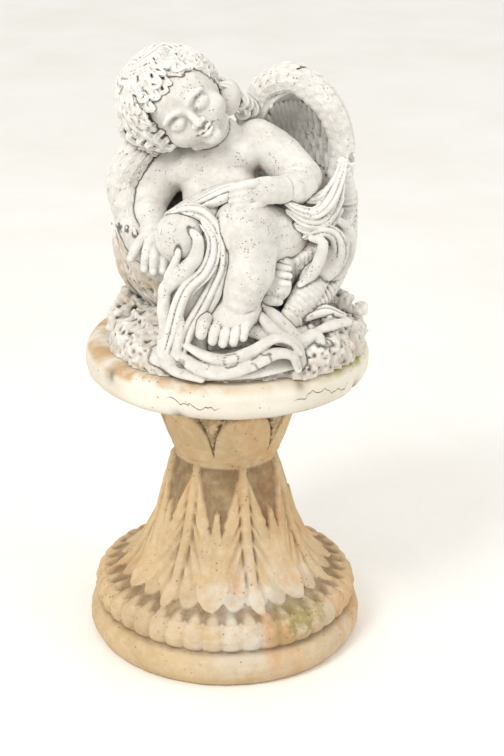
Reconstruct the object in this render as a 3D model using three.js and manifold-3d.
// Stone putto statue: a sleeping winged child in a ribbed cradle on a rock,
// set on a round slab that lies on a turned pedestal with carved leaves.
// Millimetres, +Z up, the origin on the floor under the middle of the pedestal.
// The viewer's side is -Y, and the figure's left is +X.
import * as THREE from 'three';
import { mergeVertices } from 'three/addons/utils/BufferGeometryUtils.js';
import Module from 'manifold-3d';

const wasm = await Module();
wasm.setup();

// ---------- driving dimensions ----------
const PEDESTAL_HEIGHT = 386;
const SLAB_THICKNESS = 46;
const SLAB_RADIUS = 190;
const SLAB_EDGE_RADIUS = 18;
const JOINT_GAP = 0.3; // bed joint between two pieces
const MERGE_DISTANCE = 1e-4;
const END_CROWDING = 0.8;
const FRAME_STEPS = 60;

const PEDESTAL_SEGMENTS = 84; // two for each lobe of the ring
const LEAF_PAIRS = 7; // round the bell: acanthus and tongue by turns
const LEAF_TURN = THREE.MathUtils.degToRad(19); // first acanthus, from the front
const CUP_LEAVES = 6;
const CUP_TURN = THREE.MathUtils.degToRad(18);
const LOBE_DEPTH = 5;
const LEAF_RISE = 8;

// pedestal profile: height above the floor, radius
const PEDESTAL_PROFILE = [
  [0, 184], [12, 191], [32, 190], [46, 173],
  [54, 178], [70, 179], [88, 163],
  [104, 136], [138, 111], [190, 91],
  [250, 78], [268, 69],
  [322, 86], [PEDESTAL_HEIGHT, 106],
];
const LOBE_BAND = [52, 88]; // heights between which the ring is lobed
const BELL_BAND = [90, 256];
const CUP_BAND = [270, 374];

// ---------- materials ----------
const statueStone = new THREE.MeshStandardMaterial({ color: 0xc9c6bf, roughness: 0.92, metalness: 0 });
const slabStone = new THREE.MeshStandardMaterial({ color: 0xddd5c2, roughness: 0.9, metalness: 0 });
const pedestalStone = new THREE.MeshStandardMaterial({ color: 0xc9a877, roughness: 0.92, metalness: 0 });

// ---------- small helpers ----------
const at = (x, y, z) => new THREE.Vector3(x, y, z);
const { lerp, smoothstep, clamp, degToRad } = THREE.MathUtils;

// closed geometry -> solid: shared vertices merged, collapsed faces dropped, faces outwards
function solidOf(geometry) {
  const bare = geometry.clone();
  bare.deleteAttribute('normal');
  bare.deleteAttribute('uv');
  const merged = mergeVertices(bare, MERGE_DISTANCE);
  const place = merged.attributes.position;
  const index = merged.index.array;
  const faces = [];
  let volume = 0;
  const [a, b, c] = [at(0, 0, 0), at(0, 0, 0), at(0, 0, 0)];
  for (let i = 0; i < index.length; i += 3) {
    const [p, q, r] = [index[i], index[i + 1], index[i + 2]];
    if (p === q || q === r || r === p) continue;
    faces.push(p, q, r);
    a.fromBufferAttribute(place, p);
    b.fromBufferAttribute(place, q);
    c.fromBufferAttribute(place, r);
    volume += a.dot(b.cross(c));
  }
  if (volume < 0) faces.reverse();
  return new wasm.Manifold(new wasm.Mesh({
    numProp: 3,
    vertProperties: new Float32Array(place.array),
    triVerts: new Uint32Array(faces),
  }));
}

function join(solids) {
  return solids.reduce((whole, next) => whole.add(next));
}

// the one outer body of a joined solid, without pockets or crumbs
function outerBody(solid) {
  return solid.decompose().reduce((best, next) => (next.volume() > best.volume() ? next : best));
}

function named(name, solid, material) {
  const { vertProperties, triVerts } = solid.getMesh();
  const geometry = new THREE.BufferGeometry();
  geometry.setAttribute('position', new THREE.BufferAttribute(new Float32Array(vertProperties), 3));
  geometry.setIndex(new THREE.BufferAttribute(new Uint32Array(triVerts), 1));
  geometry.computeVertexNormals();
  const mesh = new THREE.Mesh(geometry, material);
  mesh.name = name;
  return mesh;
}

// ellipsoid, turned by Euler angles in degrees
function ball(centre, radii, turn = [0, 0, 0], around = 14, down = 9) {
  const geometry = new THREE.SphereGeometry(1, around, down);
  geometry.rotateX(Math.PI / 2);
  geometry.scale(...radii);
  const euler = new THREE.Euler(...turn.map(degToRad));
  geometry.applyMatrix4(new THREE.Matrix4().makeRotationFromEuler(euler));
  geometry.translate(centre.x, centre.y, centre.z);
  return solidOf(geometry);
}

// round-ended tapering form along a smooth curve: limbs, fingers, locks, folds, feathers.
// girths are the half widths at even steps; flat squeezes it along the facing direction
function strand(points, girths, {
  sides = 8, steps = 6, flat = 1, face = null, ribs = 0, rib = 0, crowding = END_CROWDING,
} = {}) {
  const curve = new THREE.CatmullRomCurve3(points, false, 'centripetal');
  const length = curve.getLength();
  const frames = face ? null : curve.computeFrenetFrames(FRAME_STEPS, false);
  const girthAt = (t) => {
    const place = t * (girths.length - 1);
    const k = Math.min(Math.floor(place), girths.length - 2);
    return lerp(girths[k], girths[k + 1], place - k);
  };
  // rings crowd towards the ends, so that the ends come out blunt
  const profile = [new THREE.Vector2(0, 0)];
  for (let i = 1; i < steps; i += 1) {
    const crowded = (1 - Math.cos((Math.PI * i) / steps)) / 2;
    profile.push(new THREE.Vector2(1, lerp(i / steps, crowded, crowding)));
  }
  profile.push(new THREE.Vector2(0, 1));
  const geometry = new THREE.LatheGeometry(profile, sides);
  const spot = geometry.attributes.position;
  for (let i = 0; i < spot.count; i += 1) {
    const t = clamp(spot.getY(i), 0, 1);
    const girth = girthAt(t) * (1 + rib * Math.cos(t * ribs * Math.PI * 2));
    const stretch = Math.min(0.15 * length, 0.4 * girth);
    const pull = t === 0 ? -stretch : t === 1 ? stretch : 0;
    const tangent = curve.getTangentAt(t);
    let across;
    let out;
    if (face) {
      out = face.clone().addScaledVector(tangent, -face.dot(tangent)).normalize();
      across = tangent.clone().cross(out);
    } else {
      const k = Math.round(t * FRAME_STEPS);
      across = frames.normals[k].clone();
      out = frames.binormals[k].clone();
    }
    const p = curve.getPointAt(t).addScaledVector(tangent, pull);
    p.addScaledVector(across, spot.getX(i) * girth).addScaledVector(out, spot.getZ(i) * girth * flat);
    spot.setXYZ(i, p.x, p.y, p.z);
  }
  return solidOf(geometry);
}

// ---------- pedestal ----------
const bandShare = (z, [low, high]) => clamp((z - low) / (high - low), 0, 1);
const centred = (turn) => turn - Math.round(turn); // -0.5 to 0.5

// how far the carving stands out of the turned form, for an angle from the front
function pedestalCarving(angle, z) {
  if (z >= LOBE_BAND[0] && z <= LOBE_BAND[1]) {
    const lobe = Math.abs(centred((angle / (Math.PI * 2)) * (PEDESTAL_SEGMENTS / 2)));
    return -LOBE_DEPTH * smoothstep(lobe, 0.1, 0.5);
  }
  if (z >= BELL_BAND[0] && z <= BELL_BAND[1]) {
    const along = 1 - bandShare(z, BELL_BAND);
    const turn = ((angle - LEAF_TURN) / (Math.PI * 2)) * LEAF_PAIRS;
    const fromAcanthus = Math.abs(centred(turn)) * 2;
    const leafWidth = 0.34 + 0.3 * Math.sin(Math.PI * Math.min(1, along * 1.15));
    const acanthus = 1 - smoothstep(fromAcanthus, leafWidth - 0.12, leafWidth + 0.08);
    const fromTongue = Math.abs(centred(turn + 0.5)) * 2;
    const tongueWidth = 0.2 + 0.16 * along;
    const tongue = 1 - smoothstep(fromTongue, tongueWidth - 0.12, tongueWidth + 0.06);
    const curl = 0.6 + 0.7 * Math.sin(Math.PI * along);
    return LEAF_RISE * Math.max(acanthus * curl, 0.6 * tongue);
  }
  if (z >= CUP_BAND[0] && z <= CUP_BAND[1]) {
    const up = bandShare(z, CUP_BAND);
    const turn = ((angle - CUP_TURN) / (Math.PI * 2)) * CUP_LEAVES;
    const notch = Math.abs(centred(turn)) * 2;
    return LEAF_RISE * 0.8 * Math.sin(Math.PI * up) * (1 - smoothstep(notch, 0.7, 1));
  }
  return 0;
}

function turnedForm(profile, segments, carving = () => 0) {
  const points = [new THREE.Vector2(0, profile[0][0])];
  for (const [z, radius] of profile) points.push(new THREE.Vector2(radius, z));
  points.push(new THREE.Vector2(0, profile[profile.length - 1][0]));
  const geometry = new THREE.LatheGeometry(points, segments);
  geometry.rotateX(Math.PI / 2);
  const spot = geometry.attributes.position;
  for (let i = 0; i < spot.count; i += 1) {
    const [x, y, z] = [spot.getX(i), spot.getY(i), spot.getZ(i)];
    const radius = Math.hypot(x, y);
    if (radius > 0) {
      const angle = Math.atan2(x, -y);
      const size = (radius + carving(angle, z)) / radius;
      spot.setXYZ(i, x * size, y * size, z);
    }
  }
  return solidOf(geometry);
}

function makePedestal() {
  return named('pedestal', turnedForm(PEDESTAL_PROFILE, PEDESTAL_SEGMENTS, pedestalCarving), pedestalStone);
}

// ---------- slab ----------
function makeSlab() {
  const edge = [];
  const bends = 2;
  for (let i = 0; i <= bends; i += 1) {
    const a = -Math.PI / 2 + (Math.PI / 2) * (i / bends);
    edge.push([
      SLAB_EDGE_RADIUS * (1 + Math.sin(a)),
      SLAB_RADIUS - SLAB_EDGE_RADIUS * (1 - Math.cos(a)),
    ]);
  }
  const upper = edge.map(([z, radius]) => [SLAB_THICKNESS - z, radius]).reverse();
  const mesh = named('top_slab', turnedForm([...edge, ...upper], 48), slabStone);
  mesh.position.z = PEDESTAL_HEIGHT + JOINT_GAP;
  return mesh;
}

// ---------- statue: every place below is measured from the slab's top ----------

function rockBase() {
  const profile = [[0, 170], [20, 174], [42, 160], [64, 116]];
  const mound = turnedForm(profile, 26, (angle, z) => {
    const lumps = Math.sin(angle * 9 + z * 0.09) + Math.sin(angle * 17 + 2);
    return z > 0 ? 3.2 * lumps : 1.2 * Math.sin(angle * 5);
  }).translate([10, -8, 0]);
  const boulders = [
    [-128, -2, 44, 33], [-118, -46, 34, 32], [-92, -92, 24, 32], [-138, -20, 62, 20],
    [124, -22, 42, 38], [144, 16, 30, 32], [116, 26, 66, 28], [-70, 92, 44, 42],
  ];
  const rocks = boulders.map(([x, y, z, r]) => ball(at(x, y, z), [r, r, r * 0.8], [x, y, 20], 6, 4));
  return join([mound, ...rocks]);
}

const CRADLE = { middle: at(6, 18, 0), across: 162, deep: 106 };
// the slanting rim: low in front, high behind and to the figure's left
const rimHeight = (x, y) => 172 + 0.5 * (y - 18) + 0.16 * x;

function cradle() {
  const profile = [[38, 84], [60, 116], [90, 142], [120, 156], [160, 162], [300, 162]];
  const bowl = turnedForm(profile, 22)
    .scale([CRADLE.across / 162, CRADLE.deep / 162, 1])
    .translate([CRADLE.middle.x, CRADLE.middle.y, 0]);
  const slab = new THREE.BoxGeometry(600, 600, 400);
  slab.translate(0, 0, 200);
  const spot = slab.attributes.position;
  for (let i = 0; i < spot.count; i += 1) {
    const [x, y] = [spot.getX(i), spot.getY(i)];
    spot.setZ(i, spot.getZ(i) + rimHeight(x, y) - 14);
  }
  return bowl.subtract(solidOf(slab));
}

// the smooth rolled rim and the ribbed roll that wraps the figure's left side
function cradleRim() {
  const rim = [];
  for (let i = 0; i <= 12; i += 1) {
    const a = degToRad(lerp(20, -216, i / 12));
    const x = CRADLE.middle.x + (CRADLE.across - 8) * Math.cos(a);
    const y = CRADLE.middle.y + (CRADLE.deep - 4) * Math.sin(a);
    rim.push(at(x, y, rimHeight(x, y) - 14));
  }
  const rolled = strand(rim, [12, 12], { sides: 5, steps: 10, crowding: 0 });
  const ribbed = strand(
    [at(150, 14, 236), at(163, 14, 196), at(164, 8, 150), at(152, -8, 108), at(124, -52, 82), at(84, -98, 62)],
    [14, 19, 21, 22, 20, 13],
    { sides: 6, steps: 28, ribs: 14, rib: 0.08, crowding: 0 },
  );
  return join([rolled, ribbed]);
}

// ---------- the child ----------
const LIMBS = {
  leftArm: [[at(33, 32, 262), at(66, 12, 246), at(95, -12, 220), at(82, -46, 218), at(62, -66, 221)],
    [27, 29, 26, 21, 17]],
  rightArm: [[at(-74, 26, 228), at(-95, 20, 206), at(-107, 4, 178), at(-100, -22, 174), at(-95, -42, 169)],
    [26, 28, 25, 21, 16]],
  leftLeg: [[at(64, 12, 144), at(50, -36, 164), at(16, -78, 181), at(15, -94, 150), at(18, -108, 102)],
    [44, 46, 39, 34, 25]],
  rightLeg: [[at(-16, 8, 140), at(-42, -42, 156), at(-56, -74, 158), at(-20, -78, 126), at(34, -74, 102)],
    [42, 38, 33, 29, 21]],
};

function body() {
  const trunk = [
    ball(at(-20, 26, 232), [62, 42, 44], [0, -16, 0], 12, 8),
    ball(at(-6, 8, 192), [54, 44, 46], [0, -8, 0], 10, 7),
    ball(at(24, 10, 146), [66, 54, 44], [0, 0, 0], 10, 7),
    ball(at(-14, 24, 262), [30, 26, 30], [0, -30, 0], 8, 5),
  ];
  const limbs = Object.values(LIMBS).map(([points, girths]) => strand(points, girths, { sides: 9, steps: 7 }));
  return join([...trunk, ...limbs]);
}

function hands() {
  const parts = [
    strand([at(66, -64, 221), at(44, -76, 224), at(22, -81, 224)], [14, 18, 13],
      { flat: 0.6, face: at(0.2, -0.8, 0.6), sides: 8, steps: 4 }),
    strand([at(-95, -40, 168), at(-94, -56, 162), at(-94, -66, 152)], [14, 18, 16],
      { flat: 0.6, face: at(0, -0.7, 0.7), sides: 8, steps: 4 }),
  ];
  const fingerLength = 26;
  for (let i = 0; i < 4; i += 1) {
    // the left hand's fingers lie on the cloth, the right hand's hang over the rim
    const rise = 234 - i * 7;
    parts.push(strand([at(30, -80, rise), at(14, -87, rise), at(30 - fingerLength, -84, rise - 3)],
      [6, 6.5, 5.5], { sides: 4, steps: 3 }));
    const side = -104 + i * 8;
    parts.push(strand([at(side + 2, -62, 158), at(side - 3 + i, -76, 146), at(side - 9 + 3 * i, -82, 130)],
      [7, 7.5, 6], { sides: 4, steps: 3 }));
  }
  parts.push(strand([at(40, -82, 216), at(26, -90, 208), at(16, -88, 206)], [6, 7, 6], { sides: 6, steps: 4 }));
  return join(parts);
}

function feet() {
  const parts = [
    strand([at(24, -102, 92), at(14, -116, 80), at(-3, -136, 62), at(-8, -142, 58)], [24, 28, 31, 27],
      { flat: 0.72, face: at(0, -0.6, 0.8), sides: 8, steps: 5 }),
    strand([at(30, -74, 104), at(48, -82, 104), at(66, -86, 104)], [20, 24, 22],
      { flat: 0.7, face: at(0.3, -0.9, 0.3), sides: 8, steps: 4 }),
  ];
  for (let i = 0; i < 5; i += 1) {
    const big = i === 0;
    const size = big ? 9.5 : 7.4 - 0.4 * i;
    const x = -30 + i * 11 + (big ? 0 : 3);
    parts.push(strand([at(x + 6, -134, 62), at(x + 1, -148, 60), at(x - 1, -154, 50)],
      [size, size, size * 0.9], { sides: 4, steps: 3 }));
    const rise = 86 + i * 8.6;
    const reach = 72 + i * 3.4;
    parts.push(strand([at(reach - 20, -94 + 2 * i, rise + 2), at(reach, -98 + 3 * i, rise + 4), at(reach + 8, -94 + 3 * i, rise - 1)],
      [size, size, size * 0.9], { sides: 4, steps: 3 }));
  }
  return join(parts);
}

// head: its own upright frame first, then tilted and set on the neck
const HEAD = { place: at(-58, 6, 308), tilt: [-12, -44, 10], width: 52, deep: 54, tall: 60 };

function head() {
  const skull = ball(at(0, 4, 8), [HEAD.width, HEAD.deep, HEAD.tall - 8], [0, 0, 0], 12, 8);
  const jaw = ball(at(0, -16, -26), [38, 34, 32], [0, 0, 0], 9, 6);
  const cheeks = [-1, 1].map((s) => ball(at(s * 20, -32, -18), [20, 18, 18], [0, 0, 0], 7, 5));
  const brow = ball(at(0, -30, 12), [38, 22, 24], [0, 0, 0], 8, 5);
  const lids = [-1, 1].map((s) => ball(at(s * 18, -47, -2), [10, 6, 7], [0, s * 8, 0], 6, 4));
  const nose = strand([at(0, -50, 2), at(0, -56, -8), at(0, -60, -15)], [4, 6, 7], { sides: 5, steps: 3 });
  const lips = ball(at(0, -51, -29), [11, 6, 4.5], [0, 0, 0], 6, 4);
  const chin = ball(at(0, -43, -43), [13, 11, 10], [0, 0, 0], 7, 4);
  return join([skull, jaw, ...cheeks, brow, ...lids, nose, lips, chin]);
}

// locks lie on the skull in rows from the crown, each a short double bend
function hair() {
  const locks = [ball(at(0, 14, 14), [HEAD.width + 8, HEAD.deep + 2, HEAD.tall - 2], [0, 0, 0], 11, 7)];
  const rows = [
    { drop: 18, count: 3, size: 17 },
    { drop: 50, count: 6, size: 19 },
    { drop: 86, count: 6, size: 19 },
    { drop: 122, count: 4, size: 20 },
  ];
  const onSkull = (turn, drop, lift) => {
    const [a, d] = [degToRad(turn), degToRad(drop)];
    return at(
      (HEAD.width + lift) * Math.sin(d) * Math.sin(a),
      8 + (HEAD.deep + lift) * Math.sin(d) * Math.cos(a),
      10 + (HEAD.tall + lift - 8) * Math.cos(d),
    );
  };
  for (const { drop, count, size } of rows) {
    for (let i = 0; i < count; i += 1) {
      // rows low on the head leave the face free
      const gap = drop > 60 ? 112 : 180;
      const turn = lerp(-gap, gap, (i + 0.5) / count) + (drop > 60 ? 0 : drop * 0.6);
      const bend = 12 * (i % 2 ? 1 : -1);
      locks.push(strand(
        [onSkull(turn - bend, drop - 14, 4), onSkull(turn + bend, drop + 4, 11), onSkull(turn - bend * 0.4, drop + 22, 8)],
        [size * 0.6, size, size * 0.55],
        { sides: 4, steps: 3, flat: 0.8 },
      ));
    }
  }
  return join(locks);
}

// locks that fall on the right wing, and small curls behind the left shoulder
const LOOSE_LOCKS = [
  [at(-116, 6, 322), at(-126, 10, 296), at(-114, 14, 270)],
  [at(-98, -6, 300), at(-108, -4, 282), at(-98, 4, 262)],
  [at(-4, 34, 330), at(12, 40, 314), at(16, 44, 292)],
  [at(2, 36, 312), at(20, 44, 300), at(30, 50, 286)],
];

function headSet() {
  const set = join([head(), hair()]).rotate(HEAD.tilt).translate(HEAD.place.toArray());
  return join([set, ...LOOSE_LOCKS.map((path) => strand(path, [11, 15, 10], { sides: 5, steps: 3 }))]);
}

// ---------- wings ----------
const LEFT_WING_EDGE = [at(16, 62, 262), at(22, 70, 308), at(54, 62, 342), at(82, 54, 346),
  at(112, 50, 332), at(136, 46, 306), at(150, 42, 272), at(154, 36, 236), at(146, 28, 200)];
const RIGHT_WING_EDGE = [at(-98, 40, 252), at(-122, 18, 252), at(-142, 20, 236), at(-150, 16, 208),
  at(-144, 2, 180), at(-130, -26, 152), at(-112, -46, 136)];

// a hollow shell behind the leading edge, open towards the viewer
function wing({ middle, outer, inner, front, skew }, edge, girths) {
  const hollow = ball(at(middle.x, middle.y - 20, middle.z - 4), inner, [0, 0, 0], 11, 7);
  const opening = new THREE.BoxGeometry(400, 200, 400).translate(0, -100, 0);
  opening.rotateZ(degToRad(skew)).translate(middle.x, front, middle.z);
  const shell = ball(middle, outer, [0, 0, 0], 13, 8).subtract(hollow).subtract(solidOf(opening));
  return join([shell, strand(edge, girths, { sides: 6, steps: 10 })]);
}

// feathers overlap in rows behind the leading edge and point along it
function feathers(edge, rows, outwards, from = 0.06, to = 0.94) {
  const curve = new THREE.CatmullRomCurve3(edge, false, 'centripetal');
  const list = [];
  rows.forEach(({ count, size, away, back, length }) => {
    for (let i = 0; i < count; i += 1) {
      const t = lerp(from, to, (i + 0.5) / count);
      const root = curve.getPointAt(t);
      const tangent = curve.getTangentAt(t);
      const out = root.clone().sub(outwards).normalize();
      out.addScaledVector(tangent, -out.dot(tangent)).normalize();
      const start = root.clone().addScaledVector(out, away).add(at(0, back, 0));
      const middle = start.clone().addScaledVector(tangent, length * 0.5).addScaledVector(out, 2);
      const tip = start.clone().addScaledVector(tangent, length).addScaledVector(out, -1);
      list.push(strand([start, middle, tip], [size * 0.7, size, size * 0.3],
        { sides: 4, steps: 3, flat: 0.45, face: out }));
    }
  });
  return join(list);
}

function wings() {
  const left = wing(
    { middle: at(86, 58, 228), outer: [70, 62, 114], inner: [56, 68, 102], front: 50, skew: -14 },
    LEFT_WING_EDGE,
    [24, 21, 20, 18, 16, 14, 12, 10, 9],
  );
  const leftFeathers = feathers(LEFT_WING_EDGE, [
    { count: 7, size: 14, away: 8, back: 4, length: 36 },
    { count: 5, size: 19, away: 4, back: 34, length: 52 },
  ], at(84, 60, 245));
  const right = wing(
    { middle: at(-94, 30, 178), outer: [58, 84, 84], inner: [46, 90, 76], front: 16, skew: 8 },
    RIGHT_WING_EDGE,
    [18, 22, 20, 17, 15, 13, 10],
  );
  const rightFeathers = feathers(RIGHT_WING_EDGE, [
    { count: 5, size: 16, away: 9, back: 2, length: 42 },
  ], at(-100, 50, 200), 0.14, 0.8);
  return join([left, leftFeathers, right, rightFeathers]);
}

// ---------- drapery ----------
const TOWARDS_VIEWER = at(0, -0.9, 0.4);
const UPWARDS = at(0, -0.3, 1);
const FOLDS = [
  // roll held by the left hand, across the belly to the right knee
  { path: [at(44, -66, 212), at(10, -70, 210), at(-26, -62, 206), at(-54, -68, 198), at(-74, -76, 186)],
    girths: [10, 13, 13, 12, 9], flat: 0.8, face: UPWARDS },
  // over the right knee and hanging between the legs
  { path: [at(-48, -86, 196), at(-34, -106, 176), at(-38, -116, 146), at(-60, -116, 122), at(-78, -112, 104), at(-70, -118, 70)],
    girths: [9, 10, 11, 12, 13, 6], flat: 0.7, face: TOWARDS_VIEWER },
  { path: [at(-28, -80, 196), at(-20, -104, 166), at(-28, -118, 130), at(-44, -122, 92), at(-62, -132, 52), at(-74, -140, 30)],
    girths: [9, 11, 12, 12, 12, 10], flat: 0.8, face: TOWARDS_VIEWER },
  { path: [at(-16, -84, 180), at(-12, -108, 148), at(-20, -118, 112), at(-26, -128, 72), at(-40, -142, 36)],
    girths: [8, 10, 12, 12, 10], flat: 0.8, face: TOWARDS_VIEWER },
  { path: [at(-60, -104, 150), at(-58, -112, 128), at(-72, -112, 108)],
    girths: [6, 9, 7], flat: 0.8, face: TOWARDS_VIEWER },
  // spread over the rock under the left foot
  { path: [at(-82, -134, 40), at(-56, -156, 26), at(-14, -166, 22), at(30, -162, 24), at(62, -146, 36)],
    girths: [12, 14, 15, 14, 10], flat: 0.7, face: UPWARDS },
  { path: [at(20, -122, 56), at(48, -138, 44), at(84, -140, 34), at(112, -124, 26)],
    girths: [14, 15, 13, 9], flat: 0.6, face: UPWARDS },
  { path: [at(40, -104, 70), at(70, -118, 54), at(106, -106, 46), at(136, -84, 34)],
    girths: [11, 13, 12, 9], flat: 0.6, face: UPWARDS },
  { path: [at(98, -88, 60), at(126, -70, 56), at(148, -48, 42)],
    girths: [10, 12, 9], flat: 0.7, face: UPWARDS },
  // swags under the left elbow, rising to the wing
  { path: [at(62, -62, 204), at(88, -60, 192), at(118, -42, 196), at(140, -16, 216), at(150, 4, 240)],
    girths: [7, 10, 11, 10, 7], flat: 0.8, face: TOWARDS_VIEWER },
  { path: [at(70, -52, 196), at(94, -56, 180), at(122, -42, 182), at(146, -16, 204), at(156, 2, 228)],
    girths: [7, 9, 10, 10, 7], flat: 0.8, face: TOWARDS_VIEWER },
  // over the cradle's rim at the figure's left
  { path: [at(104, -44, 168), at(132, -42, 166), at(146, -40, 150), at(130, -58, 126), at(96, -84, 110)],
    girths: [8, 11, 13, 13, 8], flat: 0.8, face: TOWARDS_VIEWER },
  { path: [at(112, -50, 156), at(122, -62, 136), at(104, -76, 118)],
    girths: [8, 12, 9], flat: 0.8, face: TOWARDS_VIEWER },
];

function drapery() {
  return join(FOLDS.map(({ path, ...form }) => strand(path, form.girths, { sides: 5, steps: path.length + 1, ...form })));
}

// ---------- the figure in one piece ----------
function makeStatue() {
  const whole = join([rockBase(), cradle(), cradleRim(), wings(), body(), hands(), feet(), headSet(), drapery()]);
  const bed = solidOf(new THREE.BoxGeometry(800, 800, 200).translate(0, 0, -100));
  const mesh = named('putto_statue', outerBody(whole.subtract(bed)), statueStone);
  mesh.position.z = PEDESTAL_HEIGHT + SLAB_THICKNESS + 2 * JOINT_GAP;
  return mesh;
}

const object = new THREE.Group();
object.add(makePedestal(), makeSlab(), makeStatue());

export default object;
